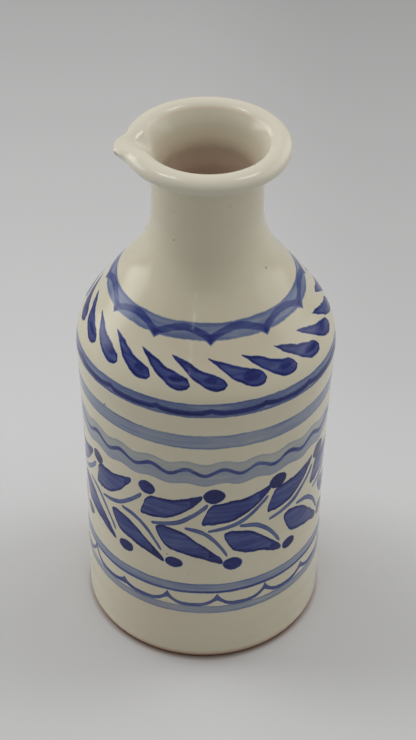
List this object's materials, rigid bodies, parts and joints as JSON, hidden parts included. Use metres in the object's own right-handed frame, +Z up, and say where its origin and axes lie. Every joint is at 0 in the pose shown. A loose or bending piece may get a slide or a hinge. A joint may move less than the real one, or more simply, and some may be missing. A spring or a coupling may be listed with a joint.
{
  "type": "oil cruet",
  "caption": "Wheel-thrown earthenware oil cruet: straight body, sloping shoulder, narrow neck and a rolled rim with a small pulled pouring lip, tin-glazed in cream.",
  "frame": {"origin": "centre of the foot, on the table", "axes": "+Z up along the turning axis, -X towards the pouring lip"},
  "size_m": [0.0772, 0.0772, 0.17],
  "materials": {
    "bare_clay": "unglazed red-brown earthenware, matt",
    "tin_white": "cream tin glaze with blue brushwork, glossy",
    "lining": "thin brownish lining glaze, glossy"
  },
  "bodies": {
    "root": {"clay_cup": "bare_clay", "clay_collar": "bare_clay", "rim_coil": "bare_clay", "outer_glaze": "tin_white", "inner_glaze": "lining"}
  },
  "joints": []
}
